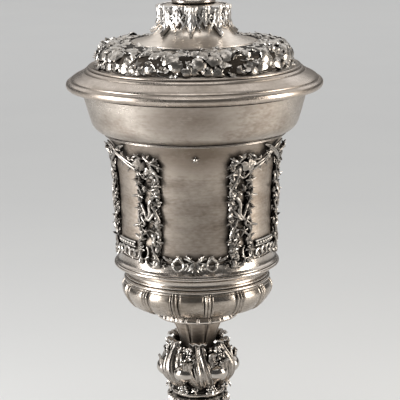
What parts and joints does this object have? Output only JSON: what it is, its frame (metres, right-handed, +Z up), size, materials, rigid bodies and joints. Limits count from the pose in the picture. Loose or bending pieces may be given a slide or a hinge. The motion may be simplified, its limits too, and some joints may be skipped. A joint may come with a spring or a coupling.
{
  "type": "lidded standing cup",
  "caption": "Tall silver standing cup with a lift-off lid, flared lip, straight barrel with branch work, gadrooned base, leafy knop and a round stepped foot.",
  "frame": {"origin": "middle of the foot's resting face", "axes": "+Z up along the cup's axis, -Y towards the front panel"},
  "size_m": [0.16, 0.16, 0.3894],
  "materials": {
    "satin_silver": "softly brushed, lightly aged silver",
    "bright_silver": "burnished silver mouldings and wires",
    "cast_silver": "cast and chased silver, blackened in the recesses",
    "rod_steel": "plain turned rods, washers and nuts"
  },
  "bodies": {
    "cup": {"foot_rim": "bright_silver", "foot_gadroon_band": "cast_silver", "foot_dome": "satin_silver", "foot_wreath": "cast_silver", "lower_stem": "cast_silver", "knop_torus": "bright_silver", "knop_core": "cast_silver", "knop_leaf_1": "cast_silver", "knop_leaf_2": "cast_silver", "knop_leaf_3": "cast_silver", "knop_leaf_4": "cast_silver", "knop_leaf_5": "cast_silver", "knop_leaf_6": "cast_silver", "knop_fruit_1": "cast_silver", "knop_fruit_2": "cast_silver", "knop_fruit_3": "cast_silver", "knop_fruit_4": "cast_silver", "knop_fruit_5": "cast_silver", "knop_fruit_6": "cast_silver", "fluted_neck": "satin_silver", "facet_disc": "bright_silver", "gadrooned_bulge": "satin_silver", "flange_ring": "bright_silver", "barrel": "satin_silver", "step_wire": "bright_silver", "flared_lip": "satin_silver", "lip_wire": "bright_silver", "branch_column_1": "cast_silver", "branch_column_2": "cast_silver", "branch_column_3": "cast_silver", "branch_column_4": "cast_silver", "branch_column_5": "cast_silver", "branch_column_6": "cast_silver", "branch_arch_1": "cast_silver", "branch_arch_2": "cast_silver", "branch_arch_3": "cast_silver", "scroll_gallery_1": "cast_silver", "scroll_gallery_2": "cast_silver", "scroll_gallery_3": "cast_silver", "twig_garland_1": "cast_silver", "twig_garland_2": "cast_silver", "twig_garland_3": "cast_silver", "panel_stud_1": "cast_silver", "panel_stud_2": "cast_silver", "panel_stud_3": "cast_silver", "stem_rod": "rod_steel", "stem_washer": "rod_steel", "stem_nut": "rod_steel"},
    "lid": {"lid_rim": "bright_silver", "lid_bezel": "satin_silver", "lid_cone": "satin_silver", "leaf_wreath": "cast_silver", "calyx_collar": "cast_silver", "finial_neck": "bright_silver", "finial_calyx": "cast_silver", "finial_bud": "cast_silver", "finial_rod": "rod_steel", "finial_washer": "rod_steel", "finial_nut": "rod_steel"}
  },
  "joints": [
    {"name": "lid_lift", "type": "slide", "parent": "cup", "child": "lid", "axis": [0, 0, 1], "range_m": [0, 0.06]}
  ]
}
